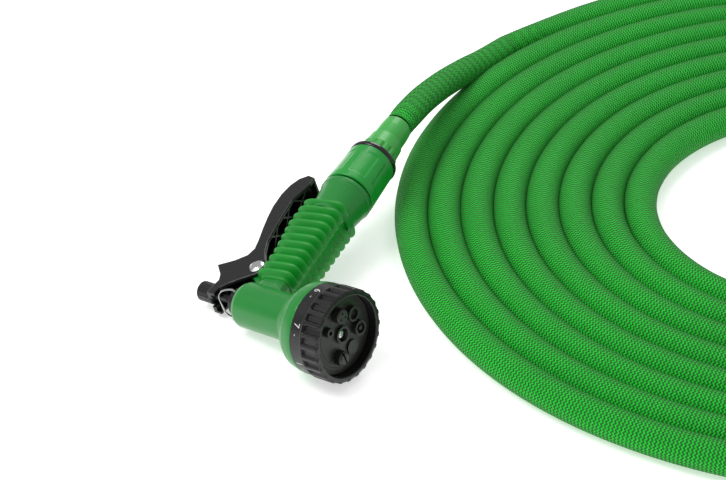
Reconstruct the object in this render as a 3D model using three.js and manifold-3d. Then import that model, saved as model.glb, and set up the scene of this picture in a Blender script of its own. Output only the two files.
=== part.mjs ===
// Pistol spray gun with a seven-pattern dial, quick-connect coupling and a coiled woven hose.
// Millimetres, +Z up. The gun lies on its side on the floor at the origin and the coil lies beside it.
import * as THREE from 'three';
import { mergeVertices } from 'three/addons/utils/BufferGeometryUtils.js';
import Module from 'manifold-3d';

const wasm = await Module();
wasm.setup();

// ---------------------------------------------------------------- driving dimensions
const GAP = 0.3;                  // air left between pieces that touch
const DEG = Math.PI / 180;

// gun body: X is the spray axis, Z runs down the handle, both from the point where the axes meet
const BARREL_RADIUS = 14.4;
const BARREL_REAR = -19;          // rear face of the barrel
const BELL_RADIUS = 28.3;
const BELL_FRONT = 45.2;
const BELL_WALL = 2.4;
const SEAT_X = 21;                // where the valve washer meets its seat
const PORT_RADIUS = 4.6;

// handle
const HANDLE_TILT = 10.5;         // degrees that the handle leans back from square
const HANDLE_OFFSET = -2;         // where the handle axis crosses the spray axis
const HANDLE_END = 110.5;         // end face of the handle, along its axis
const NECK_START = 92;            // the round neck starts here
const NECK_RADIUS = 17.2;
const CHANNEL_RADIUS = 6.2;       // water channel down the handle
const GRIP_START = 17.5;
const GRIP_SKIN = 1.8;            // rubber thickness under the fins
const GRIP_HALF_WIDTH = 12.9;
const FIN_COUNT = 11;
const FIN_PITCH = 6.8;
const FIN_THICK = 3.4;
const FIN_HEIGHT = 2.9;
// grip depth behind and before the handle axis, as [station, behind, before]
const GRIP_DEPTH = [
  [14, 11.5, 12.5],
  [38, 11, 12.6],
  [52, 13.4, 12.8],
  [66, 16.2, 12.8],
  [80, 16.6, 12.8],
  [NECK_START + 6, 15.2, 13.6],
];

// trigger: a lever on a pin behind the barrel, whose foot pulls the valve stem
const PIVOT = [-25.2, 23.7];
const PIN_RADIUS = 2.4;
const TRIGGER_HALF_WIDTH = 9;
const TRIGGER_WALL = 2.2;
const FOOT_REAR = -42.5;
const FOOT_THICK = 3;
const LUG_HALF_WIDTH = 6.4;
const LUG_RADIUS = 5.6;

// valve
const STEM_RADIUS = 3;
const KNOB_RADIUS = 6.5;
const KNOB_FRONT = -43;
const KNOB_LENGTH = 13;
const KNOB_FLUTES = 16;
const GLAND_RADIUS = 9.4;
const GLAND_REAR = -25;
const SPRING_WIRE = 1.2;
const WIRE = 1.6;                 // diameter of the hold-open bail

// dial
const DIAL_RADIUS = 29;
const DIAL_BACK = 45.6;
const BAND_FRONT = 53.6;
const DIAL_FRONT = 67;
const RECESS_RADIUS = 25.1;
const POCKETS = 24;
const POCKET_DEPTH = 1.9;
const FACE_FRONT = 61;
const PATTERNS = 7;
const OUTLET_CIRCLE = 14;
const OUTLET_START = -85;         // degrees round the spray axis, from +Y towards +Z
const SCREW_RADIUS = 3.4;

// coupling: Z runs from its mouth towards the hose
const MOUTH = 112.5;              // where the sleeve starts, along the handle axis
const SLEEVE_LENGTH = 32.5;
const SLEEVE_RADIUS = [17.8, 16.5];
const SLEEVE_WALL = 2.3;
const SLEEVE_TRAVEL = 4;
const RING_LENGTH = 3.5;
const COUPLING_RADIUS = 12.2;
const COUPLING_BORE = 9.2;
const NUT_LENGTH = 18.2;
const NUT_RADIUS = [13.2, 11.4];
const NUT_FLUTES = 14;
const FERRULE_LENGTH = 17.5;
const FERRULE_RADIUS = [10.4, 9.7];
const BARB_RADIUS = 5.6;
const NIPPLE_RADIUS = 8.7;

// hose
const HOSE = 20;                  // outside diameter of the woven sleeve
const HOSE_SIDES = 10;
const COIL_CENTRE = [374.5, 94.9];
const COIL_OUTER = 307.5;         // radius of the coil's rim before it is drawn out into an oval
const COIL_OUTER_AT = [2.5, 1.6]; // middle of the rim, from the coil's centre
const COIL_HOLE = 128.6;
const COIL_HOLE_AT = [-12.1, -9.7];
const COIL_OVAL = 0.0666;         // the coil is this much longer one way and shorter the other
const COIL_TURN = 28.5;           // degrees that its long way is turned from X

// where the gun lies: heading and rise of the spray axis, roll about it, and the place of its origin
const HEADING = -40;
const RISE = 10.8;
const ROLL = -77.9;
const GUN_AT = [-22.3, -52.1, 19.7];

// the free stretch of hose between the gun's ferrule and the coil, and the one at the far end
const LEAD = [
  [60.3, 112.4, 50.7], [63.9, 119.4, 51.6], [68.5, 131.5, 50.8], [74, 152, 46.5],
  [82, 180, 39], [93, 208, 30.5], [106, 235.5, 22], [120, 260, 15],
];
const TAIL = [
  [436, 190, 17], [464, 184, 25], [500, 178, 32], [541, 168, 35.5],
  [574, 150, 38], [592, 134.5, 38.2], [596.4, 127, 38.2], [596.5, 120.3, 38.2],
];
const TAP_AT = [596.5, 46.5, 38.2]; // mouth of the far coupling
const TAP_HEADING = 90;           // direction from its mouth towards the hose

// ---------------------------------------------------------------- colours
const BODY_GREEN = finish(0x1d7a35, 0.45);
const GRIP_GREEN = finish(0x10802f, 0.6);
const SLEEVE_GREEN = finish(0x0b8a38, 0.4);
const NUT_GREEN = finish(0x3fa447, 0.4);
const HOSE_GREEN = finish(0x2c9a3a, 0.9);
const BLACK = finish(0x151515, 0.5);
const FACE_BLACK = finish(0x2c2f2a, 0.55);
const RUBBER = finish(0x1b1b1b, 0.85);
const ACETAL = finish(0xe4e2da, 0.4);
const STEEL = finish(0xc9cac8, 0.3, 1);
const BRASS = finish(0xb6924a, 0.35, 1);

function finish(color, roughness, metalness = 0) {
  return new THREE.MeshStandardMaterial({ color, roughness, metalness });
}

// ---------------------------------------------------------------- solids
function solid(geometry) {
  const bare = geometry.index ? geometry.toNonIndexed() : geometry.clone();
  bare.deleteAttribute('normal');
  bare.deleteAttribute('uv');
  const merged = mergeVertices(bare, 1e-4);
  const vertProperties = new Float32Array(merged.attributes.position.array);
  const triVerts = new Uint32Array(merged.index.array);
  return new wasm.Manifold(new wasm.Mesh({ numProp: 3, vertProperties, triVerts }));
}

function union(shapes) {
  return shapes.reduce((whole, shape) => whole.add(shape));
}

function named(name, shape, material) {
  const { vertProperties, triVerts } = shape.getMesh();
  const geometry = new THREE.BufferGeometry();
  geometry.setAttribute('position', new THREE.BufferAttribute(new Float32Array(vertProperties), 3));
  geometry.setIndex(new THREE.BufferAttribute(new Uint32Array(triVerts), 1));
  geometry.computeVertexNormals();
  const mesh = new THREE.Mesh(geometry, material);
  mesh.name = name;
  return mesh;
}

// A solid of revolution about Z from [radius, height] points, closed on itself or on the axis.
function turned(points, segments = 24) {
  const profile = points.map(([radius, height]) => new THREE.Vector2(radius, height));
  if (points[0][0] > 0) profile.push(profile[0].clone());
  const geometry = new THREE.LatheGeometry(profile, segments);
  geometry.rotateX(Math.PI / 2);
  const shape = solid(geometry);
  return shape.volume() < 0 ? flipped(geometry) : shape;
}

function flipped(geometry) {
  const index = geometry.index.array;
  for (let i = 0; i < index.length; i += 3) [index[i], index[i + 1]] = [index[i + 1], index[i]];
  return solid(geometry);
}

function disc(radius, from, to, segments = 24) {
  return turned([[0, from], [radius, from], [radius, to], [0, to]], segments);
}

function ring(inner, outer, from, to, segments = 24) {
  return turned([[inner, from], [outer, from], [outer, to], [inner, to]], segments);
}

function box(width, depth, height, x, y, z) {
  return solid(new THREE.BoxGeometry(width, depth, height).translate(x, y, z));
}

// Turns a solid made about Z so that it lies about the spray axis.
function alongSpray(shape) {
  return shape.rotate([0, 90, 0]);
}

// Turns a solid made about Z so that it lies about the handle axis.
function alongHandle(shape) {
  return shape.rotate([0, -HANDLE_TILT, 0]).translate([HANDLE_OFFSET, 0, 0]);
}

// A plate cut from a side-view outline of [x, z] points, between two widths either side of y = 0.
function plate(outline, from, to, bevel = 0) {
  const shape = new THREE.Shape(outline.map(([x, z]) => new THREE.Vector2(x, z)));
  const geometry = new THREE.ExtrudeGeometry(shape, {
    depth: to - from - 2 * bevel, bevelEnabled: bevel > 0, bevelThickness: bevel,
    bevelSize: bevel, bevelOffset: -bevel, bevelSegments: 2, steps: 1,
  });
  geometry.translate(0, 0, from + bevel).rotateX(Math.PI / 2);
  return solid(geometry);
}

// A round wire or tube along a path of [x, y, z] points.
function tube(points, radius, sides, steps) {
  const circle = new THREE.Shape().absarc(0, 0, radius, 0, 2 * Math.PI);
  const section = new THREE.Shape(circle.getPoints(sides).slice(0, sides));
  const path = new THREE.CatmullRomCurve3(points.map((p) => new THREE.Vector3(...p)));
  return solid(new THREE.ExtrudeGeometry(section, { steps, extrudePath: path, curveSegments: sides }));
}

function torus(radius, thick, at, sides = 6) {
  const points = [];
  for (let i = 0; i < sides; i++) {
    const a = (2 * Math.PI * i) / sides;
    points.push([radius + thick * Math.cos(a), at + thick * Math.sin(a)]);
  }
  return turned(points, 20);
}

function helix(radius, wire, from, to, turns) {
  const points = [];
  for (let i = 0; i <= turns * 8; i++) {
    const a = (2 * Math.PI * i) / 8;
    const z = from + wire / 2 + ((to - from - wire) * i) / (turns * 8);
    points.push([radius * Math.cos(a), radius * Math.sin(a), z]);
  }
  return tube(points, wire / 2, 5, turns * 12);
}

// Cuts evenly spaced lengthwise flutes into a knob or nut made about Z.
function fluted(shape, count, radius, size, from, to) {
  let cut = shape;
  for (let i = 0; i < count; i++) {
    const flute = solid(new THREE.CylinderGeometry(size, size, to - from, 5))
      .rotate([90, 0, 0]).translate([radius, 0, (from + to) / 2]);
    cut = cut.subtract(flute.rotate([0, 0, (360 * i) / count]));
  }
  return cut;
}

// ---------------------------------------------------------------- gun body and grip
const BARREL = [
  [0, BARREL_REAR], [BARREL_RADIUS - 3.4, BARREL_REAR], [BARREL_RADIUS - 1, BARREL_REAR + 1],
  [BARREL_RADIUS, BARREL_REAR + 3.4], [BARREL_RADIUS + 0.2, 22], [15.8, 25.6], [19.6, 29],
  [24, 32.5], [27, 37], [BELL_RADIUS - 0.2, 42], [BELL_RADIUS, BELL_FRONT], [0, BELL_FRONT],
];
const BELL_HOLLOW = [
  [0, 30.5], [13, 30.5], [19.8, 34], [23.8, 38.4], [BELL_RADIUS - BELL_WALL, 41.2],
  [BELL_RADIUS - BELL_WALL, BELL_FRONT + 1], [0, BELL_FRONT + 1],
];
const CHAMBER_RADIUS = GLAND_RADIUS + 0.1;
const CHAMBER_FRONT = SEAT_X + 3;
const NECK = [
  [0, NECK_START - 8], [NECK_RADIUS - 2.6, NECK_START - 8], [NECK_RADIUS - 2, NECK_START],
  [NECK_RADIUS - 0.4, HANDLE_END - 6], [NECK_RADIUS, HANDLE_END - 4.2], [NECK_RADIUS, HANDLE_END - 3],
  [NECK_RADIUS + 0.5, HANDLE_END - 2.8], [NECK_RADIUS + 0.5, HANDLE_END], [0, HANDLE_END],
];
const THREAD_RADIUS = 10.5;
const THREAD_LENGTH = 16.5;

// Depth of the grip behind and before the handle axis at a station along it.
function gripDepth(station) {
  const last = GRIP_DEPTH.length - 1;
  const next = Math.min(last, Math.max(1, GRIP_DEPTH.findIndex(([at]) => at >= station)));
  const [from, behindA, beforeA] = GRIP_DEPTH[next - 1];
  const [to, behindB, beforeB] = GRIP_DEPTH[next];
  const t = (station - from) / (to - from);
  return [behindA + (behindB - behindA) * t, beforeA + (beforeB - beforeA) * t];
}

function slab(inset, from, to) {
  const inner = GRIP_DEPTH.map(([station]) => station).filter((s) => s > from + 1 && s < to - 1);
  const stations = [from, ...inner, to];
  const behind = stations.map((s) => [-(gripDepth(s)[0] - inset), s]);
  const before = stations.map((s) => [gripDepth(s)[1] - inset, s]).reverse();
  const half = GRIP_HALF_WIDTH - inset;
  return alongHandle(plate([...behind, ...before], -half, half, 5));
}

function fin(station) {
  const [behind, before] = gripDepth(station);
  const [left, right] = [-(behind + FIN_HEIGHT), before + FIN_HEIGHT];
  const half = GRIP_HALF_WIDTH + FIN_HEIGHT;
  const corner = 7;
  const outline = new THREE.Shape();
  outline.absarc(right - corner, half - corner, corner, 0, Math.PI / 2);
  outline.absarc(left + corner, half - corner, corner, Math.PI / 2, Math.PI);
  outline.absarc(left + corner, corner - half, corner, Math.PI, 1.5 * Math.PI);
  outline.absarc(right - corner, corner - half, corner, 1.5 * Math.PI, 2 * Math.PI);
  const geometry = new THREE.ExtrudeGeometry(outline, {
    depth: FIN_THICK, bevelEnabled: false, curveSegments: 2,
  });
  return alongHandle(solid(geometry).translate([0, 0, station - FIN_THICK / 2]));
}

function gunBody() {
  const around = Array.from({ length: 9 }, (_, i) => {
    const a = (150 + 22 * i) * DEG;
    return [PIVOT[0] + LUG_RADIUS * Math.cos(a), PIVOT[1] + LUG_RADIUS * Math.sin(a)];
  }).slice(0, 6);
  const lug = plate([[-10, 31], [-24, PIVOT[1] + LUG_RADIUS], ...around, [-14, 11], [-8, 11]],
    -LUG_HALF_WIDTH, LUG_HALF_WIDTH);
  const shell = union([
    alongSpray(turned(BARREL, 36)), slab(GRIP_SKIN, 8, NECK_START + 3), alongHandle(turned(NECK, 36)), lug,
  ]);
  const hollow = union([
    alongSpray(disc(CHAMBER_RADIUS, BARREL_REAR - 1, CHAMBER_FRONT)),
    alongSpray(disc(PORT_RADIUS, 0, 31)),
    alongSpray(turned(BELL_HOLLOW, 36)),
    alongHandle(disc(CHANNEL_RADIUS, 4, HANDLE_END + 1, 24)),
    alongHandle(disc(THREAD_RADIUS, HANDLE_END - THREAD_LENGTH, HANDLE_END + 1)),
    pinHole(),
  ]);
  return shell.subtract(hollow);
}

function pinHole() {
  return disc(PIN_RADIUS + GAP, -20, 20, 16).rotate([90, 0, 0]).translate([PIVOT[0], 0, PIVOT[1]]);
}

function handleGrip() {
  const fins = [];
  for (let i = 0; i < FIN_COUNT; i++) fins.push(fin(GRIP_START + 3 + FIN_PITCH * i));
  const skin = slab(0, GRIP_START, NECK_START);
  const core = slab(GRIP_SKIN - GAP, 6, NECK_START + 6);
  const spine = alongHandle(box(8, 5, 90, GRIP_DEPTH[3][2] + 4.6, 0, 60));
  const neck = alongHandle(disc(NECK_RADIUS, NECK_START + 1.4, NECK_START + 20));
  const pivotRoom = plate([[-60, 8], [-15.4, 8], [-15.4, 29], [-22, 35], [-60, 60]], -11.6, 11.6);
  const lugRoom = box(8, 2 * LUG_HALF_WIDTH + 2 * GAP, 24, -12.6, 0, 19.6);
  const inner = union([core, spine, neck, pivotRoom, lugRoom, alongSpray(disc(BARREL_RADIUS + 0.6, -40, 60)),
    alongHandle(disc(NECK_RADIUS - 1.4, NECK_START - 8 - GAP, NECK_START + 8))]);
  return union([skin, ...fins]).subtract(inner);
}

// ---------------------------------------------------------------- trigger and valve
const TRIGGER_BACK = [
  [-40, 31], [-39.8, 37.6], [-43.1, 45.4], [-47.8, 54.7], [-52.6, 65.2], [-56.8, 76],
  [-59.7, 88.4], [-60, 98], [-58.2, 105.5],
];
const TRIGGER_FRONT = [
  [-48.5, 110], [-46.4, 103.5], [-47.6, 86.2], [-43.4, 71.3], [-39.3, 57.6], [-35.3, 46.1],
  [-29.7, 37.2], [-24.3, 31.5], [-18.8, 27.5], [-17.8, 22.5], [-21.8, 17.5], [-27.5, 11.5],
  [-33.2, 4.5], [-36.4, -1], [-36.6, -7],
];
const HORN = [[-45.6, 9.8], [-53.5, 16.2], [-45, 24]];

function triggerLever() {
  const foot = [[FOOT_REAR, -7], [FOOT_REAR, 5]];
  const outline = [...TRIGGER_BACK, [-54, 110.6], ...TRIGGER_FRONT, ...foot, ...HORN];
  const outer = plate(outline, -TRIGGER_HALF_WIDTH, TRIGGER_HALF_WIDTH, 0.8);
  const footFront = FOOT_REAR + FOOT_THICK;
  const inside = TRIGGER_BACK.map(([x, z]) => [x + TRIGGER_WALL + 0.2, z]);
  const cavityOutline = [
    [0, -12], [footFront, -12], [footFront, 6], [-42, 13], [-41, 22], ...inside, [-53.5, 108], [0, 108],
  ];
  const cavityHalf = TRIGGER_HALF_WIDTH - TRIGGER_WALL;
  const cavity = plate(cavityOutline, -cavityHalf, cavityHalf);
  const slotHalf = STEM_RADIUS + 0.6;
  const slot = box(10, 2 * slotHalf, 12, FOOT_REAR, 0, -2.2);
  const hollowed = outer.subtract(union([cavity, slot, pinHole()]));
  return hollowed.add(triggerRibs(outer, cavity));
}

// Thin crossing ribs inside the lever, which stop short of its open front.
function triggerRibs(outer, cavity) {
  const room = outer.intersect(cavity).translate([-3.2, 0, 0]);
  const ribs = [];
  for (const height of [60, 78, 95]) {
    for (const lean of [-38, 38]) {
      ribs.push(box(60, 1.1, 30, 0, 0, 0).rotate([lean, 0, 0]).translate([-50, 0, height]));
    }
  }
  return union(ribs).intersect(room);
}

function acrossPivot(shape) {
  return shape.rotate([90, 0, 0]).translate([PIVOT[0], 0, PIVOT[1]]);
}

function triggerPin() {
  const seat = TRIGGER_HALF_WIDTH + GAP;
  return acrossPivot(turned([
    [0, -seat - 1.8], [3.2, -seat - 1.5], [4.7, -seat - 0.8], [5.1, -seat], [PIN_RADIUS, -seat],
    [PIN_RADIUS, seat], [5.1, seat], [4.7, seat + 0.8], [3.2, seat + 1.5], [0, seat + 1.8],
  ], 24));
}

function valveStem() {
  const thread = STEM_RADIUS - 1.1;
  return alongSpray(turned([
    [0, KNOB_FRONT - 10.5], [thread, KNOB_FRONT - 10.5], [thread, KNOB_FRONT + GAP],
    [STEM_RADIUS, KNOB_FRONT + GAP], [STEM_RADIUS, 6.5], [7.6, 6.5], [7.6, 8.3], [STEM_RADIUS, 8.3],
    [STEM_RADIUS, SEAT_X - 5.2], [6, SEAT_X - 5.2], [6, SEAT_X - 3.4], [thread, SEAT_X - 3.4],
    [thread, SEAT_X - 0.9], [0, SEAT_X - 0.9],
  ], 20));
}

function gland() {
  const plug = alongSpray(turned([
    [STEM_RADIUS + GAP, GLAND_REAR], [GLAND_RADIUS - 0.6, GLAND_REAR], [GLAND_RADIUS - GAP, GLAND_REAR + 0.6],
    [GLAND_RADIUS - GAP, -10], [5.4, -10], [5.4, -13.4], [STEM_RADIUS + GAP, -13.4],
  ], 28));
  return plug.subtract(disc(WIRE / 2 + GAP, -20, 20, 12).rotate([90, 0, 0]).translate([BAIL_HINGE[0], 0, BAIL_HINGE[1]]));
}

const BAIL_HINGE = [GLAND_REAR + 2.6, -1];
const BAIL_HALF_WIDTH = 11.4;
const BAIL_REACH = 11.6;

function bail() {
  const [x, z] = BAIL_HINGE;
  const w = BAIL_HALF_WIDTH;
  const leg = [[x, 7.4, z], [x, 10.3, z], [x - 1.2, w, z - 0.4], [x - 5, w + 0.2, z - 2]];
  const bow = [[x - 9, w - 1, z - 3.8], [x - BAIL_REACH, w - 4.5, z - 4.8], [x - BAIL_REACH - 0.3, 0, z - 5]];
  const half = [...leg, ...bow];
  const other = half.slice(0, -1).reverse().map(([px, py, pz]) => [px, -py, pz]);
  return tube([...half, ...other], WIRE / 2, 6, 24);
}

function knob() {
  const rear = KNOB_FRONT - KNOB_LENGTH;
  const bore = disc(STEM_RADIUS - 1.1 + GAP, KNOB_FRONT - 10.8, KNOB_FRONT + 1, 16);
  const body = turned([
    [0, rear], [KNOB_RADIUS - 1.2, rear], [KNOB_RADIUS, rear + 1.2], [KNOB_RADIUS, KNOB_FRONT - 0.6],
    [KNOB_RADIUS - 0.8, KNOB_FRONT], [0, KNOB_FRONT],
  ], 24).subtract(bore);
  return alongSpray(fluted(body, KNOB_FLUTES, KNOB_RADIUS + 0.5, 0.9, rear - 1, KNOB_FRONT - 1.6));
}

// ---------------------------------------------------------------- dial
function dialRing() {
  const snap = RECESS_RADIUS + 1.2;
  const body = turned([
    [snap, DIAL_BACK], [DIAL_RADIUS - 0.5, DIAL_BACK], [DIAL_RADIUS - 0.5, BAND_FRONT],
    [DIAL_RADIUS, BAND_FRONT + 0.5], [DIAL_RADIUS, DIAL_FRONT - 1.6], [DIAL_RADIUS - 1.4, DIAL_FRONT],
    [RECESS_RADIUS, DIAL_FRONT], [RECESS_RADIUS, 57.6], [snap, 57.6],
  ], 2 * POCKETS);
  let cut = body;
  const width = (2 * Math.PI * DIAL_RADIUS) / POCKETS;
  for (let i = 0; i < POCKETS; i++) {
    const pocket = box(4, width * 0.62, DIAL_FRONT - BAND_FRONT - 3.4, DIAL_RADIUS + 2 - POCKET_DEPTH, 0,
      (BAND_FRONT + DIAL_FRONT) / 2);
    cut = cut.subtract(pocket.rotate([0, 0, (360 * (i + 0.5)) / POCKETS]));
  }
  return alongSpray(cut);
}

// Moves a solid made about Z to one of the outlets, which stand on a circle round the spray axis.
function atOutlet(shape, index) {
  const a = (OUTLET_START + (360 * index) / PATTERNS) * DEG;
  return alongSpray(shape).translate([0, OUTLET_CIRCLE * Math.cos(a), OUTLET_CIRCLE * Math.sin(a)]);
}

const SPIGOT_RADIUS = 2.4;
const HUB_RADIUS = 4.1;

function sprayFace() {
  const rear = 54.6;
  const body = alongSpray(turned([
    [2.2, rear], [RECESS_RADIUS + 0.9, rear], [RECESS_RADIUS + 0.9, 57.3], [RECESS_RADIUS - GAP, 57.3],
    [RECESS_RADIUS - GAP, FACE_FRONT], [HUB_RADIUS + 1.4, FACE_FRONT], [HUB_RADIUS + 1.4, FACE_FRONT + 1.8],
    [HUB_RADIUS, FACE_FRONT + 1.8], [HUB_RADIUS, 57.6], [2.2, 57.6],
  ], 40));
  let cut = body;
  for (let i = 0; i < PATTERNS; i++) {
    const top = i === 0 ? 58.4 : FACE_FRONT + 1;
    cut = cut.subtract(atOutlet(disc(SPIGOT_RADIUS + GAP, rear - 1, top, 16), i));
  }
  return cut;
}

// An outlet insert: a spigot in the face below a head of [radius, height over the face] points.
function insert(head) {
  const foot = FACE_FRONT + GAP;
  return turned([
    [0, 58], [SPIGOT_RADIUS, 58], [SPIGOT_RADIUS, foot], ...head.map(([r, h]) => [r, foot + h]),
  ], 20);
}

function tripleTurret() {
  let turret = insert([[4.7, 0], [4.7, 4.2], [4.2, 4.8], [0, 4.8]]);
  for (let i = 0; i < 3; i++) {
    const a = (120 * i + 20) * DEG;
    turret = turret.subtract(disc(0.7, FACE_FRONT + 3, FACE_FRONT + 6, 8)
      .translate([2.2 * Math.cos(a), 2.2 * Math.sin(a), 0]));
  }
  return turret;
}

function fanTurret() {
  const turret = insert([[4.6, 0], [4.6, 3.8], [3.2, 5], [0, 5.2]]);
  return turret.subtract(box(1.3, 12, 3, 0, 0, FACE_FRONT + 4.8));
}

const OUTLETS = [
  ['outlet_fan', fanTurret()],
  ['outlet_mesh', insert([[4.6, 0], [4.6, 0.9], [0, 0.9]])],
  ['outlet_cone', insert([[4.7, 0], [4.7, 3], [3.5, 3], [3.5, 0.8], [1.6, 0.8], [1.2, 2.8], [0, 2.8]])],
  ['outlet_soaker', insert([[4.7, 0], [4.7, 3], [3.5, 3], [3.5, 0.8], [0, 0.8]])],
  ['outlet_mist', tripleTurret()],
  ['outlet_jet', insert([[3.1, 0], [2.9, 3.2], [1.4, 3.2], [1.4, 0.8], [0, 0.8]])],
];

function distributor() {
  const plateRadius = BELL_RADIUS - BELL_WALL - GAP;
  const disc0 = disc(plateRadius, 41.6, 44.9, 40);
  const post = disc(4.4, 44, 54.2, 20);
  const boss = atOutlet(disc(5, 44, 50.6, 20), 0);
  const body = alongSpray(disc0.add(post)).add(boss);
  const screwHole = alongSpray(disc(1.9, 43, 56, 12));
  const pinSocket = alongSpray(disc(2.3, 42.4, 46, 12)).translate([0, 0, 20]);
  return body.subtract(union([screwHole, pinSocket, atOutlet(disc(3.2, 41, 52, 16), 0)]));
}

function dialScrew() {
  const head = turned([
    [0, 46], [1.6, 46], [1.6, 58.7], [SCREW_RADIUS, 58.7], [SCREW_RADIUS, 60], [2.2, 60.9], [0, 61.1],
  ], 20);
  const cross = box(0.8, 3.6, 1.6, 0, 0, 61).add(box(3.6, 0.8, 1.6, 0, 0, 61));
  return alongSpray(head.subtract(cross));
}

// ---------------------------------------------------------------- coupling, the same at both ends of the hose
function couplingPieces(prefix) {
  const [wide, narrow] = SLEEVE_RADIUS;
  const top = SLEEVE_LENGTH;
  const ringInner = NUT_RADIUS[0] + 0.7;
  const nutStart = top + RING_LENGTH + 0.7;
  const nutEnd = nutStart + NUT_LENGTH;
  const ferruleStart = nutEnd + GAP;
  const ferruleEnd = ferruleStart + FERRULE_LENGTH;
  const collar = ringInner - 0.5;
  const bore = FERRULE_RADIUS[1] - 0.8;
  const sleeve = turned([
    [wide - SLEEVE_WALL, 0], [wide - 0.5, 0], [wide, 0.6], [narrow, top], [narrow - SLEEVE_WALL, top],
    [narrow - 1.9, 14.8], [12.9, 14.8], [12.9, 12.2], [wide - SLEEVE_WALL - 0.3, 12.2],
  ], 28);
  const sleeveRing = turned([
    [ringInner, top + GAP], [narrow + 0.1, top + GAP], [narrow + 0.4, top + 2], [narrow - 0.3, top + GAP + RING_LENGTH],
    [ringInner, top + GAP + RING_LENGTH],
  ], 28);
  const body = turned([
    [COUPLING_BORE + 1.4, 2], [COUPLING_RADIUS, 2], [COUPLING_RADIUS, 29.5], [collar, 29.5], [collar, nutStart - GAP],
    [10.4, nutStart - GAP], [10.4, nutStart + 9], [7.4, nutStart + 10], [BARB_RADIUS, nutStart + 14],
    [BARB_RADIUS, ferruleEnd - 3], [4, ferruleEnd - 3], [4, 25], [COUPLING_BORE, 25], [COUPLING_BORE, 12],
    [COUPLING_BORE + 1.4, 12],
  ], 24);
  const claw = ring(COUPLING_BORE, COUPLING_BORE + 1.1, 3, 6.5, 28).subtract(box(8, 3, 8, 10, 0, 5));
  const nut = turned([
    [10.8, nutStart], [NUT_RADIUS[0], nutStart], [NUT_RADIUS[0] - 0.2, nutStart + 7.6],
    [NUT_RADIUS[0] - 0.9, nutStart + 8.4], [NUT_RADIUS[1], nutEnd], [bore + 0.3, nutEnd], [bore + 0.3, nutStart + 11],
    [10.8, nutStart + 10.6],
  ], 2 * NUT_FLUTES);
  const ferrule = turned([
    [bore, ferruleStart], [FERRULE_RADIUS[0], ferruleStart], [FERRULE_RADIUS[0], ferruleStart + 10],
    [FERRULE_RADIUS[1], ferruleEnd - 1], [FERRULE_RADIUS[1] - 0.5, ferruleEnd], [bore, ferruleEnd],
  ], 28);
  return [
    [`${prefix}sleeve`, sleeve, SLEEVE_GREEN],
    [`${prefix}sleeve_ring`, sleeveRing, BLACK],
    [`${prefix}coupling_body`, body, BLACK],
    [`${prefix}claw_ring`, claw, ACETAL],
    [`${prefix}sleeve_spring`, helix(13.6, 0.9, 15.2, 29.2, 4), STEEL],
    [`${prefix}nipple_seal`, torus(NIPPLE_RADIUS - 0.55, 0.8, 17), RUBBER],
    [`${prefix}hose_nut`, fluted(nut, NUT_FLUTES, NUT_RADIUS[0] + 0.5, 1.3, nutStart - 1, nutEnd + 1), NUT_GREEN],
    [`${prefix}ferrule`, ferrule, NUT_GREEN],
    [`${prefix}hose_end`, ring(BARB_RADIUS + GAP, bore - GAP, nutStart + 14.6, ferruleEnd - GAP, 20), HOSE_GREEN],
  ];
}

const HOSE_START = SLEEVE_LENGTH + RING_LENGTH + 0.7 + NUT_LENGTH + GAP + FERRULE_LENGTH + GAP;

// The stub that plugs into a coupling, from its flange to its tip.
function nippleProfile(base) {
  const groove = NIPPLE_RADIUS - 1.6;
  return [
    ...base, [13, -1.4], [13, 1.2], [NIPPLE_RADIUS, 1.2], [NIPPLE_RADIUS, 7], [10.1, 7.6], [10.1, 9],
    [NIPPLE_RADIUS, 9.8], [NIPPLE_RADIUS, 15.6], [groove, 15.6], [groove, 18.4], [NIPPLE_RADIUS, 18.4],
    [NIPPLE_RADIUS, 23.8], [NIPPLE_RADIUS - 0.8, 24.6], [5, 24.6],
  ];
}

function inletNipple() {
  const start = HANDLE_END - MOUTH;
  return turned(nippleProfile([[5, start - 15], [THREAD_RADIUS - GAP, start - 15], [THREAD_RADIUS - GAP, start + GAP],
    [13, start + GAP]]), 24);
}

const TAP_LENGTH = 18;
const TAP_RADIUS = 17;
const TAP_THREAD = 13.4;

function tapAdaptor() {
  const cup = turned(nippleProfile([
    [5, -4], [TAP_THREAD, -4], [TAP_THREAD, -TAP_LENGTH], [TAP_RADIUS, -TAP_LENGTH], [TAP_RADIUS, -2.6],
    [TAP_RADIUS - 1.2, -1.4],
  ]), 24);
  return fluted(cup, 10, TAP_RADIUS + 1.4, 2.6, -TAP_LENGTH + 5, 0);
}

// ---------------------------------------------------------------- hose
// The coil as it lies: a flat disc with an off-centre hole, drawn out into an oval.
function coilSolid(grow) {
  const outer = COIL_OUTER + grow;
  const rim = [
    [0, -grow], [outer - 4, -grow], [outer, 5], [outer, 15], [outer - 4, HOSE + grow], [0, HOSE + grow],
  ];
  const hole = disc(COIL_HOLE - grow, -5, HOSE + 5, 48).translate([...COIL_HOLE_AT, 0]);
  return turned(rim, 64).translate([...COIL_OUTER_AT, 0]).subtract(hole)
    .scale([1 + COIL_OVAL, 1 - COIL_OVAL, 1]).rotate([0, 0, COIL_TURN])
    .translate([...COIL_CENTRE, 0]);
}

function hoseStretch(points, steps) {
  return tube(points, HOSE / 2, HOSE_SIDES, steps).subtract(coilSolid(GAP));
}

// ---------------------------------------------------------------- assembly
const gun = new THREE.Group();
gun.position.set(...GUN_AT);
gun.rotation.set(ROLL * DEG, -RISE * DEG, HEADING * DEG, 'ZYX');

const handle = new THREE.Group();
handle.position.x = HANDLE_OFFSET;
handle.rotation.y = -HANDLE_TILT * DEG;
gun.add(handle);

const coupling = new THREE.Group();
coupling.position.z = MOUTH;
handle.add(coupling);

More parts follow.
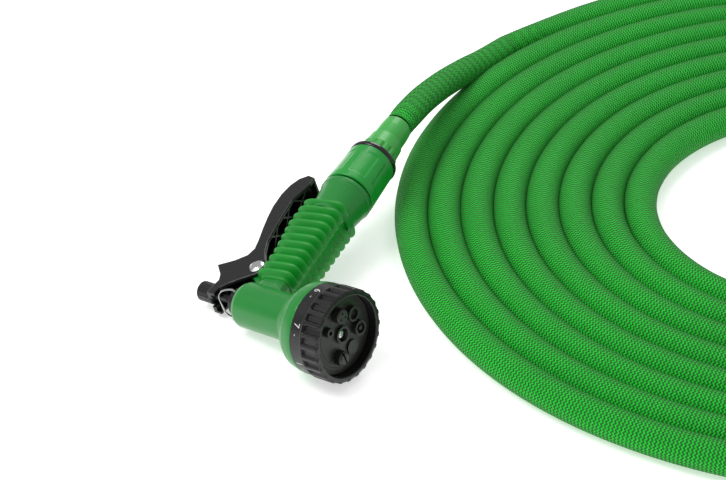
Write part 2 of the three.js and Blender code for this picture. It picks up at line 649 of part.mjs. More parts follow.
gun.add(
  named('gun_body', gunBody(), BODY_GREEN),
  named('handle_grip', handleGrip(), GRIP_GREEN),
  named('rear_gland', gland(), BLACK),
  named('stem_seal', alongSpray(torus(STEM_RADIUS + 1.2, 0.85, -11.6)), RUBBER),
  named('valve_stem', valveStem(), BLACK),
  named('valve_washer', alongSpray(ring(STEM_RADIUS - 0.8, 6.3, SEAT_X - 3.1, SEAT_X - 0.8, 24)), RUBBER),
  named('valve_seat', alongSpray(ring(PORT_RADIUS, CHAMBER_RADIUS - GAP, SEAT_X - 0.4, CHAMBER_FRONT - GAP, 28)), BRASS),
  named('valve_spring', alongSpray(helix(6, SPRING_WIRE, -9.6, 6.1, 5)), STEEL),
  named('trigger', triggerLever(), BLACK),
  named('trigger_pin', triggerPin(), STEEL),
  named('flow_knob', knob(), BLACK),
  named('hold_open_bail', bail(), STEEL),
  named('distributor', distributor(), ACETAL),
  named('port_seal', atOutlet(ring(3.5, 4.9, 50.9, 54.3, 20), 0), RUBBER),
  named('detent_pin', alongSpray(turned([[0, 42.8], [2, 42.8], [2, 53], [1, 54.2], [0, 54.3]], 14))
    .translate([0, 0, 20]), ACETAL),
  named('dial_ring', dialRing(), BLACK),
  named('spray_face', sprayFace(), FACE_BLACK),
  named('dial_screw', dialScrew(), STEEL),
  named('dial_washer', alongSpray(ring(1.9, 3.7, 57.9, 58.4, 20)), STEEL),
);
OUTLETS.forEach(([name, shape], i) => gun.add(named(name, atOutlet(shape, i + 1), FACE_BLACK)));
for (const piece of couplingPieces('')) coupling.add(named(...piece));
coupling.add(named('inlet_nipple', inletNipple(), BLACK));

const tapEnd = new THREE.Group();
tapEnd.position.set(...TAP_AT);
tapEnd.rotation.set(0, 90 * DEG, TAP_HEADING * DEG, 'ZYX');
for (const piece of couplingPieces('tap_')) tapEnd.add(named(...piece));
tapEnd.add(
  named('tap_adaptor', tapAdaptor(), BLACK),
  named('tap_washer', ring(6, TAP_THREAD - GAP, -6.3, -4.3, 24), RUBBER),
  named('tap_reducer', ring(10.4, TAP_THREAD - GAP, -TAP_LENGTH + 0.6, -6.6, 28), BLACK),
);

const assembly = new THREE.Group();
assembly.add(
  gun,
  tapEnd,
  named('hose_lead', hoseStretch(LEAD, 16), HOSE_GREEN),
  named('hose_coil', coilSolid(0), HOSE_GREEN),
  named('hose_tail', hoseStretch(TAIL, 16), HOSE_GREEN),
);

export default assembly;
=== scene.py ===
# A pistol spray gun with a pattern dial and a woven, coiled hose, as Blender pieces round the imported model.
import math
import bpy
import numpy as np
from mathutils import Matrix, Vector


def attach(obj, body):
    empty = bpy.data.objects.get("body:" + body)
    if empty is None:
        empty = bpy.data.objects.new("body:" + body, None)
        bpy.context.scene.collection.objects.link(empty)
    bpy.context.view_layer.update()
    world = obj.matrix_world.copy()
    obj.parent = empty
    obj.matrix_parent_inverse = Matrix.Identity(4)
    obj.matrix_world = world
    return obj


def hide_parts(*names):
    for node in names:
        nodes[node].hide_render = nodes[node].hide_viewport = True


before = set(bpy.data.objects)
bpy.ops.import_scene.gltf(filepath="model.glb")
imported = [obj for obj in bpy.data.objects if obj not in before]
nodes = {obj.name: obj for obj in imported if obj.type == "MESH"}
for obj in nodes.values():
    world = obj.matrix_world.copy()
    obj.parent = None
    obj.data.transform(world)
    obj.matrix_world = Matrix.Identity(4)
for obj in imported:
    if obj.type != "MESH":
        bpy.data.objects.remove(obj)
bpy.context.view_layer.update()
MM = 0.001

# ---- Camera: a long studio lens looking down across the coil from the gun's side.
CAMERA_AT = (36.5, -1030.8, 757.9)
CAMERA_DOWN = 35                # degrees below level
SENSOR = 36.0
FOCAL_WIDTHS = 2000 / 726       # focal length in widths of the sensor
camera = bpy.data.objects.new("camera", bpy.data.cameras.new("camera"))
bpy.context.collection.objects.link(camera)
camera.location = Vector(CAMERA_AT) * MM
camera.rotation_euler = (math.radians(90 - CAMERA_DOWN), 0, 0)
camera.data.sensor_width = SENSOR
camera.data.lens = SENSOR * FOCAL_WIDTHS
bpy.context.scene.camera = camera


# ---- Hose: a latex tube inside a knitted polyester sleeve, which gathers into fine cross rows when the
# hose is empty. It leaves the ferrule, comes down to the floor, winds inwards in a flat oval coil and
# climbs back over its turns to the tap coupling.
HOSE = 20.0
LEAD = [(59.95, 111.65, 50.65), (64.0, 120.2, 51.1), (69.0, 133.2, 49.4), (77.4, 156.5, 44.5),
        (86.3, 179.4, 38.5), (95.5, 201.8, 32.0), (104.9, 222.0, 26.0), (114.4, 240.7, 20.5),
        (124.5, 257.8, 15.8), (145, 289, 10.5)]
TAIL = [(436, 190, 17), (464, 184, 25), (500, 178, 32), (541, 168, 35.5),
        (574, 150, 38), (592, 134.5, 38.2), (596.4, 127, 38.2), (596.5, 120.3, 38.2)]
COIL_CENTRE = (374.5, 94.9)
COIL_RADIUS = 294.9
COIL_PITCH = 23.05
COIL_DRIFT = (-2.14, -1.89)
COIL_OVAL = 0.0666
COIL_TURN = 0.4975
COIL_FROM = -1.70 * math.pi
COIL_TO = 14.58 * math.pi
PRESS_FROM_X = 290              # the far right side is pressed in by this share of what lies beyond
PRESS_X = 0.05
CORNER_FROM = 300               # and its far corner by up to this many millimetres in y
CORNER_IN = 13


def coil_line(angle):
    """A spiral whose radius falls by one pitch a turn, drawn out into an oval whose middle drifts."""
    radius = COIL_RADIUS - COIL_PITCH * angle / (2 * math.pi)
    along = np.cos(math.pi - angle - COIL_TURN) * radius * (1 + COIL_OVAL)
    across = np.sin(math.pi - angle - COIL_TURN) * radius * (1 - COIL_OVAL)
    c, s = math.cos(COIL_TURN), math.sin(COIL_TURN)
    turns = angle / (2 * math.pi)
    x = COIL_CENTRE[0] + COIL_DRIFT[0] * turns + along * c - across * s
    y = COIL_CENTRE[1] + COIL_DRIFT[1] * turns + along * s + across * c
    beyond = np.clip(x - PRESS_FROM_X, 0, None)
    far = np.clip((x - CORNER_FROM) / 100, 0, 1) * np.clip((y - CORNER_FROM) / 100, 0, 1)
    return np.stack([x - PRESS_X * beyond, y - CORNER_IN * far, np.full_like(angle, HOSE / 2)], -1)


def smooth_line(points, count):
    """A Catmull-Rom curve through the points, evened out to equal steps of length."""
    p = np.asarray(points, float)
    p = np.vstack([2 * p[0] - p[1], p, 2 * p[-1] - p[-2]])
    t = np.linspace(0, len(p) - 3 - 1e-9, len(p) * 40)
    i, u = t.astype(int), (t % 1)[:, None]
    a, b, c, d = p[i], p[i + 1], p[i + 2], p[i + 3]
    line = 0.5 * (2 * b + (c - a) * u + (2 * a - 5 * b + 4 * c - d) * u**2
                  + (3 * b - a - 3 * c + d) * u**3)
    run = np.r_[0, np.cumsum(np.linalg.norm(np.diff(line, axis=0), axis=1))]
    even = np.linspace(0, run[-1], count)
    return np.stack([np.interp(even, run, line[:, k]) for k in range(3)], -1)


def mesh_piece(name, grid, closed_u=False, uv=None):
    """A smooth mesh from a grid of points: its columns close on themselves, and its rows do if closed_u."""
    rows, cols = grid.shape[:2]
    r, c = np.meshgrid(np.arange(rows if closed_u else rows - 1), np.arange(cols), indexing="ij")
    r1, c1 = (r + 1) % rows, (c + 1) % cols
    faces = np.stack([r * cols + c, r * cols + c1, r1 * cols + c1, r1 * cols + c], -1).reshape(-1, 4)
    mesh = bpy.data.meshes.new(name)
    mesh.vertices.add(rows * cols)
    mesh.vertices.foreach_set("co", (grid.reshape(-1) * MM).astype(np.float32))
    mesh.loops.add(faces.size)
    mesh.loops.foreach_set("vertex_index", faces.reshape(-1).astype(np.int32))
    mesh.polygons.add(len(faces))
    mesh.polygons.foreach_set("loop_start", np.arange(0, faces.size, 4, dtype=np.int32))
    mesh.update(calc_edges=True)
    mesh.polygons.foreach_set("use_smooth", np.ones(len(faces), bool))
    if uv is not None:
        layer = mesh.uv_layers.new(name="run")
        u, v = uv
        corner_r = np.stack([r, r, r + 1, r + 1], -1).reshape(-1)
        corner_c = np.stack([c, c + 1, c + 1, c], -1).reshape(-1)
        corners = np.stack([u[corner_r % rows], v[corner_c]], -1)
        layer.data.foreach_set("uv", corners.reshape(-1).astype(np.float32))
    piece = bpy.data.objects.new(name, mesh)
    bpy.context.collection.objects.link(piece)
    return piece


def linear(hexcode):
    """An sRGB hex colour as a linear RGBA value."""
    s = np.array([(hexcode >> 16) & 255, (hexcode >> 8) & 255, hexcode & 255]) / 255
    return tuple(np.where(s <= 0.04045, s / 12.92, ((s + 0.055) / 1.055) ** 2.4)) + (1.0,)


def material(name):
    """A new material, its node adder, its surface shader and its links."""
    made = bpy.data.materials.new(name)
    made.use_nodes = True
    tree = made.node_tree

    def add(kind, inputs=(), **settings):
        node = tree.nodes.new(kind)
        for key, value in settings.items():
            setattr(node, key, value)
        for key, value in dict(inputs).items():
            if isinstance(value, bpy.types.NodeSocket):
                tree.links.new(value, node.inputs[key])
            else:
                node.inputs[key].default_value = value
        return node

    shader = tree.nodes["Principled BSDF"]
    return made, add, shader, tree.links


# one line from ferrule to coupling: short bridges blend the lead and the tail into the coil
COIL_POINTS = 2900
BRIDGE_POINTS, BRIDGE = 60, slice(20, 42)   # only the middle of a bridge is kept
lead_line = smooth_line(LEAD, 180)
tail_line = smooth_line(TAIL, 60)
angles = np.linspace(COIL_FROM, COIL_TO, COIL_POINTS)
coil = coil_line(angles)
bridge_in = smooth_line([LEAD[-2], LEAD[-1], coil[0], coil[8]], BRIDGE_POINTS)[BRIDGE]
bridge_out = smooth_line([coil[-8], coil[-1], TAIL[0], TAIL[1]], BRIDGE_POINTS)[BRIDGE]
raw = np.vstack([lead_line[:-1], bridge_in[1:-1], coil, bridge_out[1:-1], tail_line])
run = np.r_[0, np.cumsum(np.linalg.norm(np.diff(raw, axis=0), axis=1))]
LEAD_LENGTH = 235.0
LEAD_STEP = 0.8                 # rings of the mesh stand closer on the lead, which shows its rows
COIL_STEP = 2.6
fine = np.arange(0, LEAD_LENGTH, LEAD_STEP)
coarse = np.linspace(LEAD_LENGTH, run[-1], int((run[-1] - LEAD_LENGTH) / COIL_STEP))
stations = np.r_[fine, coarse]
line = np.stack([np.interp(stations, run, raw[:, k]) for k in range(3)], -1)
soft = np.ones(9) / 9          # two passes of a running mean take out the kinks at the bridges
for _ in range(2):
    padded = np.vstack([np.repeat(line[:1], 4, 0), line, np.repeat(line[-1:], 4, 0)])
    smoothed = np.stack([np.convolve(padded[:, k], soft, "valid") for k in range(3)], -1)
    line[len(fine) + 6:-3] = smoothed[len(fine) + 6:-3]

# the sleeve's skin: narrow where the ferrule grips it, with low rows of loops on the lead; turns that lie
# side by side spread until they touch
SIDES = 20
ROW = 3.1                       # one row of loops along the lead
ROW_RISE = 0.22
EXIT_RADIUS, EXIT_SWELL, EXIT_OVER = 9.3, 0.5, 14
SPREAD = 0.13
FADE = 60                       # over which the spread comes and goes
RISING = 260                    # the last stretch, which climbs to the coupling, isn't spread
tangent = np.gradient(line, axis=0)
tangent /= np.linalg.norm(tangent, axis=1)[:, None]
side = np.cross(tangent, (0, 0, 1.0))
side /= np.linalg.norm(side, axis=1)[:, None]
up = np.cross(side, tangent)
turn = np.linspace(0, 2 * math.pi, SIDES, endpoint=False)
radius = EXIT_RADIUS + EXIT_SWELL * np.clip(stations / EXIT_OVER, 0, 1)
ridge = np.where(stations < LEAD_LENGTH, ROW_RISE, 0)[:, None] * np.cos(
    2 * math.pi * stations[:, None] / ROW + 1.2 * np.sin(5 * turn)[None])
settled = (1 + SPREAD * np.clip((stations - LEAD_LENGTH) / FADE, 0, 1)
           * np.clip((run[-1] - RISING - stations) / FADE, 0, 1))
wobble = 0.10 * np.sin(stations / 37)[:, None] * np.cos(2 * turn)[None]
radii = radius[:, None] + ridge + wobble
tube = line[:, None] + radii[..., None] * ((settled[:, None] * np.cos(turn)[None])[..., None] * side[:, None]
                                           + np.sin(turn)[None, :, None] * up[:, None])
hose = mesh_piece("hose", tube, uv=(stations, np.linspace(0, 1, SIDES + 1)))

# knitted polyester: a matte, fibrous surface in rows of small loops, lighter on the loops than between them,
# the darker green between them being painted shade in the recesses
knit, add, shader, links = material("knitted_polyester_green")
place = add("ShaderNodeUVMap", uv_map="run")
parts = add("ShaderNodeSeparateXYZ", {"Vector": place.outputs["UV"]})
LOOPS_ROUND = 26
LOOP_SWAY = 1.25                # how far each loop leans along the hose, in radians of a row
around = add("ShaderNodeMath", {0: parts.outputs["Y"], 1: LOOPS_ROUND * 2 * math.pi}, operation="MULTIPLY")
zig = add("ShaderNodeMath", {0: around.outputs[0]}, operation="SINE")
zig_size = add("ShaderNodeMath", {0: zig.outputs[0], 1: LOOP_SWAY}, operation="MULTIPLY")
ROW_COIL = 2.3
rows_along = add("ShaderNodeMath", {0: parts.outputs["X"], 1: 2 * math.pi / ROW_COIL}, operation="MULTIPLY")
phase = add("ShaderNodeMath", {0: rows_along.outputs[0], 1: zig_size.outputs[0]}, operation="ADD")
rows = add("ShaderNodeMath", {0: phase.outputs[0]}, operation="SINE")
height = add("ShaderNodeMapRange", {"Value": rows.outputs[0], "From Min": -1.0, "From Max": 1.0})
spot = add("ShaderNodeTexCoord").outputs["Object"]
fibre = add("ShaderNodeTexNoise", {"Vector": spot, "Scale": 900.0, "Detail": 3.0})
patch = add("ShaderNodeTexNoise", {"Vector": spot, "Scale": 14.0, "Detail": 2.0})
mix_height = add("ShaderNodeMath", {0: height.outputs["Result"], 1: fibre.outputs["Fac"]},
                 operation="MULTIPLY")
# painted shade: the ramp darkens the colour where the loops' height, broken by fibre noise, is low, in the
# recesses between them
tone = add("ShaderNodeValToRGB", {"Fac": mix_height.outputs[0]})
tone.color_ramp.elements[0].position = 0.05
tone.color_ramp.elements[0].color = linear(0x064F17)
tone.color_ramp.elements[1].position = 0.42
tone.color_ramp.elements[1].color = linear(0x3FC848)
shade = add("ShaderNodeHueSaturation", {"Color": tone.outputs["Color"], "Saturation": 1.12})
value = add("ShaderNodeMapRange", {"Value": patch.outputs["Fac"], "To Min": 0.88, "To Max": 1.12})
# painted shade: the colour darkens on the flanks of the hose as they turn from view, standing in for loops
# seen edge on that hide their lit tops, so the flanks are darker than its crown
facing = add("ShaderNodeLayerWeight", {"Blend": 0.5})
turned = add("ShaderNodeMapRange", {"Value": facing.outputs["Facing"], "From Min": 0.25, "From Max": 0.95,
                                    "To Min": 1.22, "To Max": 0.5})
lit = add("ShaderNodeMath", {0: value.outputs["Result"], 1: turned.outputs["Result"]}, operation="MULTIPLY")
links.new(lit.outputs[0], shade.inputs["Value"])
links.new(shade.outputs["Color"], shader.inputs["Base Color"])
bump = add("ShaderNodeBump", {"Height": mix_height.outputs[0], "Strength": 1.0, "Distance": 0.0011})
links.new(bump.outputs["Normal"], shader.inputs["Normal"])
shader.inputs["Roughness"].default_value = 0.72
shader.inputs["Sheen Weight"].default_value = 0.12
shader.inputs["Sheen Roughness"].default_value = 0.5
shader.inputs["Sheen Tint"].default_value = linear(0x7FE07F)
hose.data.materials.append(knit)
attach(hose, "hose_and_coupling")
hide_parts("hose_lead", "hose_coil", "hose_tail")

# ---- Where the gun lies: its spray axis points down to the right, its handle runs back to the hose.
GUN_AT = (-22.3, -52.1, 19.7)
HEADING, RISE, ROLL = -40, 10.8, -77.9
HANDLE_TILT, HANDLE_OFFSET = 10.5, -2
MOUTH_AT = 112.5                # where the coupling starts, along the handle


def rotation(degrees, axis):
    """A turn about a named axis."""
    return Matrix.Rotation(math.radians(degrees), 4, axis)


GUN = Matrix.Translation(GUN_AT) @ rotation(HEADING, "Z") @ rotation(-RISE, "Y") @ rotation(ROLL, "X")
HANDLE = GUN @ Matrix.Translation((HANDLE_OFFSET, 0, 0)) @ rotation(-HANDLE_TILT, "Y")
MOUTH = HANDLE @ Matrix.Translation((0, 0, MOUTH_AT))
SPRAY = GUN @ rotation(90, "Y")


def placed(points, where):
    """Points made round the origin, carried to a frame: each is turned and moved by its matrix."""
    m = np.array(where)
    return points @ m[:3, :3].T + m[:3, 3]


def rounded(points, radius):
    """A closed profile with each corner eased by a quadratic curve that starts and ends a radius from it."""
    p = np.asarray(points, float)
    before, after = np.roll(p, 1, 0) - p, np.roll(p, -1, 0) - p
    to_before, to_after = np.linalg.norm(before, axis=1), np.linalg.norm(after, axis=1)
    cut = np.minimum(radius, 0.45 * np.minimum(to_before, to_after))
    start = p + before * (cut / to_before)[:, None]
    end = p + after * (cut / to_after)[:, None]
    t = np.linspace(0, 1, 5)[None, :, None]
    curve = (1 - t) ** 2 * start[:, None] + 2 * t * (1 - t) * p[:, None] + t**2 * end[:, None]
    return curve.reshape(-1, 2)


def lathed(name, profile, where, radius=0.5, segments=96, shape=None):
    """A closed profile of (radius, height) turned about Z, its radius changed by shape(angle, r, z)."""
    p = rounded(profile, radius)
    a = np.linspace(0, 2 * math.pi, segments, endpoint=False)[None, :]
    r, z = np.repeat(p[:, :1], segments, 1), np.repeat(p[:, 1:], segments, 1)
    if shape is not None:
        r = shape(a, r, z)
    grid = np.stack([r * np.cos(a), r * np.sin(a), z], -1)
    return mesh_piece(name, placed(grid, where), closed_u=True)


def finish_of(name, hexcode, roughness, grain=0.0004, scale=700.0, coat=0.0, metallic=0.0, spread=0.06):
    """A moulded or turned surface: a colour that drifts a little, with a fine grain in bump and roughness."""
    made, add, shader, links = material(name)
    place = add("ShaderNodeTexCoord").outputs["Object"]
    drift = add("ShaderNodeTexNoise", {"Vector": place, "Scale": 45.0, "Detail": 3.0})
    grain_noise = add("ShaderNodeTexNoise", {"Vector": place, "Scale": scale, "Detail": 2.0})
    tone = add("ShaderNodeValToRGB", {"Fac": drift.outputs["Fac"]})
    base = np.array(linear(hexcode))
    tone.color_ramp.elements[0].position = 0.3
    tone.color_ramp.elements[0].color = tuple(base[:3] * (1 - spread)) + (1.0,)
    tone.color_ramp.elements[1].position = 0.7
    tone.color_ramp.elements[1].color = tuple(base[:3] * (1 + spread)) + (1.0,)
    links.new(tone.outputs["Color"], shader.inputs["Base Color"])
    rough = add("ShaderNodeMapRange", {"Value": grain_noise.outputs["Fac"],
                                       "To Min": roughness - 0.05, "To Max": roughness + 0.05})
    links.new(rough.outputs["Result"], shader.inputs["Roughness"])
    bump = add("ShaderNodeBump", {"Height": grain_noise.outputs["Fac"], "Strength": 0.25, "Distance": grain})
    links.new(bump.outputs["Normal"], shader.inputs["Normal"])
    shader.inputs["Metallic"].default_value = metallic
    shader.inputs["Coat Weight"].default_value = coat
    return made


def dress(piece, made, body, slot, *stands_for):
    """Gives a new piece its material, body and the nodes it stands for. Its slot is not used."""
    piece.data.materials.clear()
    piece.data.materials.append(made)
    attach(piece, body)
    if stands_for:
        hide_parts(*stands_for)


def dress_nodes(made, *names):
    """Gives CAD nodes that stay as they are their material."""
    for name in names:
        nodes[name].data.materials.clear()
        nodes[name].data.materials.append(made)


# ---- Quick-connect coupling: a moulded ABS sleeve with shallow finger panels slides on a glossy black
# nylon body, and a lighter green nut and ferrule clamp the hose behind it.
SLEEVE_LENGTH = 32.5
NUT_START = SLEEVE_LENGTH + 4.2
NUT_END = NUT_START + 18.2
FERRULE_START = NUT_END + 0.3
FERRULE_END = FERRULE_START + 17.5
abs_emerald = finish_of("moulded_abs_emerald", 0x04962F, 0.3, coat=0.15)
abs_light = finish_of("moulded_abs_light_green", 0x3CA845, 0.38, coat=0.1)
nylon_black = finish_of("moulded_nylon_black", 0x090909, 0.36)
nylon_gloss = finish_of("polished_nylon_black", 0x0B0B0B, 0.14, coat=0.3)


def panels(a, r, z):
    """Six shallow panels let into the sleeve's middle: the wall drops 0.45 mm where both waves are high."""
    across = np.clip((np.cos(6 * a) + 0.55) * 6, 0, 1)
    along = np.clip((z - 5.5) / 0.8, 0, 1) * np.clip((27.5 - z) / 0.8, 0, 1)
    return r - 0.45 * across * along * (r > 16)


def flutes(count, depth, low, high):
    """Rounded finger grooves round a nut, between two heights along its axis."""
    def shape(a, r, z):
        wave = np.clip(np.cos(count * a) * 0.5 + 0.5, 0, 1) ** 3
        band = np.clip((z - low) / 1.2, 0, 1) * np.clip((high - z) / 1.2, 0, 1)
        return r - depth * wave * band * (r > 11)
    return shape


def sleeve_profile():
    """The sleeve, narrowing towards the hose, with a step inside."""
    z = np.linspace(0.8, SLEEVE_LENGTH, 40)
    outside = [(17.8 - 1.3 * t / SLEEVE_LENGTH, t) for t in z]
    return [(15.5, 0), (17.3, 0), *outside, (14.2, SLEEVE_LENGTH), (14.6, 14.8), (12.9, 14.8),
            (12.9, 12.2), (15.2, 12.2)]


def nut_profile():
    """The nut: a rim, a fluted band and a cone down to the ferrule."""
    z = np.linspace(NUT_START + 1.6, NUT_START + 7.4, 12)
    return [(10.8, NUT_START), (13.2, NUT_START), (13.2, NUT_START + 1.2), *[(13.0, t) for t in z],
            (13.0, NUT_START + 8.0), (12.2, NUT_START + 8.6), (11.5, NUT_END), (9.2, NUT_END),
            (9.2, NUT_START + 11), (10.8, NUT_START + 10.6)]


COLLAR = [(13.9, 32.7), (16.7, 32.7), (17.1, 34.6), (16.6, 36.6), (13.9, 36.6)]
FERRULE = [(8.95, FERRULE_START), (10.4, FERRULE_START), (10.4, FERRULE_START + 10),
           (9.9, FERRULE_END - 1), (9.4, FERRULE_END), (8.95, FERRULE_END)]
NUT_FLUTES, FLUTE_DEPTH = 14, 1.2


def coupling_set(prefix, where, fixed_body, sleeve_body):
    """The sleeve, its ring, the nut and the ferrule, as lathed shells about the coupling's axis."""
    grooves = flutes(NUT_FLUTES, FLUTE_DEPTH, NUT_START + 0.9, NUT_START + 8.6)
    dress(lathed(prefix + "sleeve_shell", sleeve_profile(), where, 0.5, 144, panels), abs_emerald,
          sleeve_body, "sleeve_green", prefix + "sleeve")
    dress(lathed(prefix + "sleeve_collar", COLLAR, where, 0.8), nylon_gloss,
          sleeve_body, "black", prefix + "sleeve_ring")
    dress(lathed(prefix + "clamp_nut", nut_profile(), where, 0.35, 168, grooves), abs_light,
          fixed_body, "nut_green", prefix + "hose_nut")
    dress(lathed(prefix + "ferrule_shell", FERRULE, where, 0.6), abs_light,
          fixed_body, "nut_green", prefix + "ferrule")


coupling_set("", MOUTH, "hose_and_coupling", "sleeve")
TAP_AT, TAP_HEADING = (596.5, 46.5, 38.2), 90
TAP = Matrix.Translation(TAP_AT) @ rotation(TAP_HEADING, "Z") @ rotation(90, "Y")
coupling_set("tap_", TAP, "hose_and_coupling", "tap_sleeve")
acetal = finish_of("moulded_acetal_white", 0xE4E2DA, 0.4)
nitrile = finish_of("nitrile_rubber", 0x1B1B1B, 0.75)
dress_nodes(nylon_black, "coupling_body", "tap_coupling_body", "inlet_nipple", "tap_adaptor", "tap_reducer")
dress_nodes(acetal, "claw_ring", "tap_claw_ring", "distributor", "detent_pin")
dress_nodes(nitrile, "nipple_seal", "tap_nipple_seal", "tap_washer", "stem_seal", "valve_washer", "port_seal")
dress_nodes(knit, "hose_end", "tap_hose_end")

# ---- Gun body: one ABS moulding, with a barrel that flares to a bell, and a round neck where the
# coupling plugs in. Both shells ride on the plain solid of the body, which stays in place under them.
abs_body = finish_of("moulded_abs_green", 0x16842F, 0.33, coat=0.12)
neck = lathed("neck_shell", [
    (14.6, 84), (15.2, 92), (16.6, 103.6), (17.2, 106.3), (17.2, 107.4), (17.7, 107.8), (17.7, 110.5),
    (10.6, 110.5), (10.6, 95), (13, 84)], HANDLE, 0.5)
barrel = lathed("barrel_shell", [
    (9.6, -19), (11.2, -19), (13.4, -18), (14.4, -15.4), (14.5, 0), (14.6, 22), (15.8, 25.6), (19.6, 29),
    (24, 32.5), (27, 37), (28.1, 42), (28.3, 45.2), (25.9, 45.2), (25.9, 41.2), (23.8, 38.4), (19.8, 34),
    (13, 30.5), (4.7, 30.5), (4.7, 24.2), (9.6, 24)], SPRAY, 0.9, 128)
dress(barrel, abs_body, "gun", "body_green")
dress(neck, abs_body, "gun", "body_green")
dress_nodes(abs_body, "gun_body")

# ---- Grip: thermoplastic rubber moulded over the handle, matte, in eleven rounded fins with a flat spine
# down the front and another down the back.
FIN_FIRST, FIN_PITCH, FIN_HEIGHT = 20.5, 6.8, 3.6
GRIP_FROM, GRIP_TO = 16.5, 91.9
GRIP_ROWS, GRIP_COLUMNS = 420, 200
FIN_EDGE = 0.75                 # below 1, the fins are fuller than a cosine
SQUARENESS = 0.5                # the section is a superellipse: 1 would be an ellipse, 0 a rectangle
SIDE = 11.9                     # half width between the fins
GROOVE = 1.2                    # how far the grooves lie under the handle's outline
# height along the handle, then how far the handle's outline reaches behind its axis and before it
DEPTHS = np.array([(14, 11.5, 12.5), (38, 11, 12.6), (52, 13.4, 12.8),
                   (66, 16.2, 12.8), (80, 16.6, 12.8), (98, 15.2, 13.6)])
s = np.linspace(GRIP_FROM, GRIP_TO, GRIP_ROWS)
behind, before = np.interp(s, DEPTHS[:, 0], DEPTHS[:, 1]), np.interp(s, DEPTHS[:, 0], DEPTHS[:, 2])
a = np.linspace(0, 2 * math.pi, GRIP_COLUMNS, endpoint=False)
wave = np.clip(0.5 + 0.5 * np.cos(2 * math.pi * (s - FIN_FIRST) / FIN_PITCH), 0, 1) ** FIN_EDGE
fade = np.clip((s - GRIP_FROM - 0.2) / 2, 0, 1) * np.clip((GRIP_TO - 0.4 - s) / 1.5, 0, 1)
flat_x = np.sign(np.cos(a)) * np.abs(np.cos(a)) ** SQUARENESS
flat_y = np.sign(np.sin(a)) * np.abs(np.sin(a)) ** SQUARENESS
spine = np.clip((np.abs(flat_y) * 12.9 - 2.6) / 1.2, 0, 1)[None]
fin = FIN_HEIGHT * (wave * fade)[:, None] * spine
half_x = np.where(flat_x[None] > 0, before[:, None], behind[:, None]) - GROOVE + fin
half_y = SIDE + fin
x, y = flat_x * half_x, flat_y * half_y
grid = np.stack([x, y, np.repeat(s[:, None], GRIP_COLUMNS, 1)], -1)
caps = grid[[0, -1]] * np.array([0.9, 0.9, 1.0])
grip = mesh_piece("grip_skin", placed(np.vstack([caps[:1], grid, caps[1:]]), HANDLE))
grip_rubber = finish_of("overmoulded_tpr_green", 0x069227, 0.42, spread=0.08)
dress(grip, grip_rubber, "gun", "grip_green", "handle_grip")

# ---- Dial: a nylon ring with finger pockets round its front, a plain band behind them, and the face.
POCKETS = 24
POCKET_DEPTH, SCALLOP_DEPTH = 1.9, 1.1
PATTERNS = 7
PATTERN_START = -85             # degrees round the spray axis, from +Y towards +Z


def pocketed(a, r, z):
    """Rounded pockets between evenly spaced ribs, and a front rim scalloped in step with them."""
    cell = np.clip((np.cos(POCKETS * a) + 0.45) * 3.0, 0, 1)
    cell = cell * cell * (3 - 2 * cell)
    along = np.clip((z - 54.6) / 0.9, 0, 1) * np.clip((66.2 - z) / 0.7, 0, 1)
    rim = np.clip((z - 66.0) / 0.5, 0, 1)
    return r - (POCKET_DEPTH * cell * along + SCALLOP_DEPTH * cell * rim) * (r > 27)


z = np.linspace(54.2, 66.4, 44)
dial_profile = [(26.3, 45.6), (28.3, 45.6), (28.5, 46), (28.5, 53.2), (29, 53.8), *[(29.0, t) for t in z],
                (28.2, 66.9), (27.6, 67), (25.6, 67), (25.1, 66.4), (25.1, 57.6), (26.3, 57.6)]
dial = lathed("dial_shell", dial_profile, SPRAY, 0.35, POCKETS * 14, pocketed)
nylon_dial = finish_of("moulded_nylon_dial", 0x0A0A0A, 0.34)
dress(dial, nylon_dial, "dial", "black", "dial_ring")
nylon_face = finish_of("moulded_nylon_face", 0x1D1F1B, 0.42)
dress_nodes(nylon_face, "spray_face", "outlet_fan", "outlet_mesh", "outlet_cone", "outlet_soaker",
            "outlet_mist", "outlet_jet")

# shower pattern: small holes in three arcs near the edge of the face, as dark discs just proud of it, their
# near-black colour painted shade for the inside of each hole
ARCS = ((18.3, 17), (20.3, 19), (22.3, 21))     # radius and number of holes
ARC_FROM, ARC_TO = -126, -35
HOLE_RADIUS, HOLE_SIDES = 0.42, 10
HOLES_AT = 61.06
spots = np.concatenate([np.stack([np.full(n, r), np.radians(np.linspace(ARC_FROM, ARC_TO, n))], -1)
                        for r, n in ARCS])
ring_angle = np.linspace(0, 2 * math.pi, HOLE_SIDES, endpoint=False)
centres = np.stack([spots[:, 0] * np.cos(spots[:, 1]), spots[:, 0] * np.sin(spots[:, 1])], -1)
rim = centres[:, None] + HOLE_RADIUS * np.stack([np.cos(ring_angle), np.sin(ring_angle)], -1)[None]
points = np.concatenate([np.full(rim.shape[:2] + (1,), HOLES_AT), rim], -1)
holes_mesh = bpy.data.meshes.new("shower_holes")
holes_mesh.from_pydata((placed(points.reshape(-1, 3), GUN) * MM).tolist(), [],
                       np.arange(len(points) * HOLE_SIDES).reshape(-1, HOLE_SIDES).tolist())
holes = bpy.data.objects.new("shower_holes", holes_mesh)
bpy.context.collection.objects.link(holes)
# painted shade: near-black for the unlit inside of each hole
hole_painted_shade = finish_of("unlit_hole", 0x020202, 0.9, spread=0.0)
dress(holes, hole_painted_shade, "dial", "face_black")

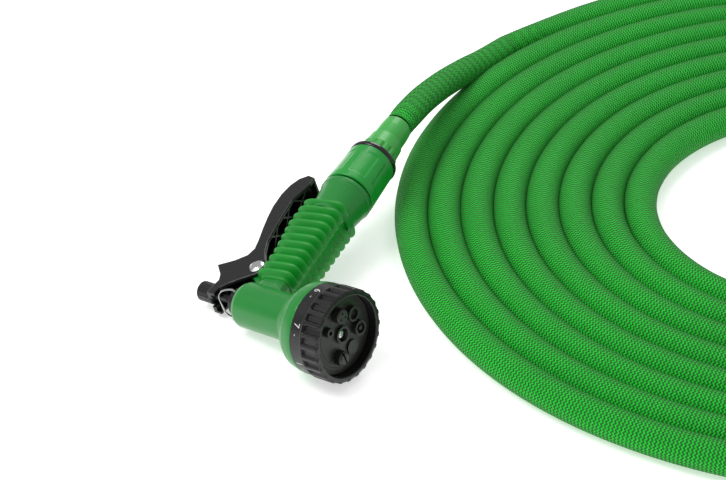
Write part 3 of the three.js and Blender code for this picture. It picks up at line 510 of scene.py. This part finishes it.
# white numerals and ticks printed on the band, one for each pattern, bent round it
PRINT_RADIUS = 28.56            # just proud of the band
PRINT_AT = 49.6
BEND_RADIUS = 28.55
TICK_BESIDE = 6                 # from the numeral to its tick, along the band
white_print = finish_of("white_pad_print", 0xD4D4D0, 0.5)
for k in range(PATTERNS):
    angle = math.radians(PATTERN_START + 360 / PATTERNS * k)
    for part, body, size, beside in (("numeral", str(k + 1), 6.2, 0), ("tick", "-", 5, TICK_BESIDE)):
        text = bpy.data.curves.new(f"{part}_{k + 1}", "FONT")
        text.body = body
        text.size = size
        text.align_x = "CENTER"
        text.align_y = "CENTER"
        holder = bpy.data.objects.new("text", text)
        bpy.context.collection.objects.link(holder)
        bpy.context.view_layer.update()
        flat = bpy.data.meshes.new_from_object(holder)
        bpy.data.objects.remove(holder)
        co = np.zeros(len(flat.vertices) * 3)
        flat.vertices.foreach_get("co", co)
        co = co.reshape(-1, 3)
        round_by = angle + (co[:, 0] + beside) / BEND_RADIUS
        wrapped = np.stack([PRINT_AT + co[:, 1], PRINT_RADIUS * np.cos(round_by),
                            PRINT_RADIUS * np.sin(round_by)], -1)
        flat.vertices.foreach_set("co", (placed(wrapped, GUN) * MM).reshape(-1))
        flat.update()
        mark = bpy.data.objects.new(f"{part}_{k + 1}", flat)
        bpy.context.collection.objects.link(mark)
        dress(mark, white_print, "dial", "face_black")

# ---- Trigger, valve stem, knob and wire: black nylon moulded with a fine spark texture, and bright steel.
nylon_trigger = finish_of("textured_nylon_black", 0x0A0A0A, 0.38, grain=0.0007, scale=420.0)
steel = finish_of("bright_stainless_steel", 0xD2D3D2, 0.22, metallic=1.0, spread=0.03)
brass = finish_of("turned_brass", 0xB6924A, 0.3, metallic=1.0, spread=0.03)
dress_nodes(nylon_trigger, "trigger", "flow_knob", "valve_stem", "rear_gland")
dress_nodes(steel, "trigger_pin", "hold_open_bail", "dial_screw", "dial_washer", "valve_spring",
            "sleeve_spring", "tap_sleeve_spring")
dress_nodes(brass, "valve_seat")

# ---- Studio: white paper, lit a little from within to go as white as the background, under an even sky,
# with a soft lamp high on the left and another behind the coil. Lengths here are in metres.
FLOOR = -0.0005
floor_mesh = bpy.data.meshes.new("floor")
floor_mesh.from_pydata([(-6, -6, FLOOR), (7, -6, FLOOR), (7, 8, FLOOR), (-6, 8, FLOOR)], [], [(0, 1, 2, 3)])
floor = bpy.data.objects.new("floor", floor_mesh)
bpy.context.collection.objects.link(floor)
paper, _, shader, _ = material("white_paper")
shader.inputs["Base Color"].default_value = (0.9, 0.9, 0.9, 1)
shader.inputs["Roughness"].default_value = 0.9
shader.inputs["Emission Color"].default_value = (1, 1, 1, 1)
shader.inputs["Emission Strength"].default_value = 0.5
floor.data.materials.append(paper)
world = bpy.data.worlds.new("studio")
bpy.context.scene.world = world
world.use_nodes = True
sky = world.node_tree.nodes["Background"]
sky.inputs["Color"].default_value = (1, 1, 1, 1)
sky.inputs["Strength"].default_value = 0.5
bpy.context.scene.view_settings.view_transform = "Standard"


def lamp(name, at, aim, size, power):
    """A square soft box at a point, turned to face another."""
    light = bpy.data.objects.new(name, bpy.data.lights.new(name, "AREA"))
    light.data.size = size
    light.data.energy = power
    light.location = at
    light.rotation_euler = (Vector(aim) - Vector(at)).to_track_quat("-Z", "Y").to_euler()
    bpy.context.collection.objects.link(light)


lamp("key", (-0.9, -0.2, 1.6), (0.1, 0.0, 0), 0.8, 17)
lamp("back", (0.5, 1.6, 1.3), (0.1, 0.1, 0), 0.9, 12)
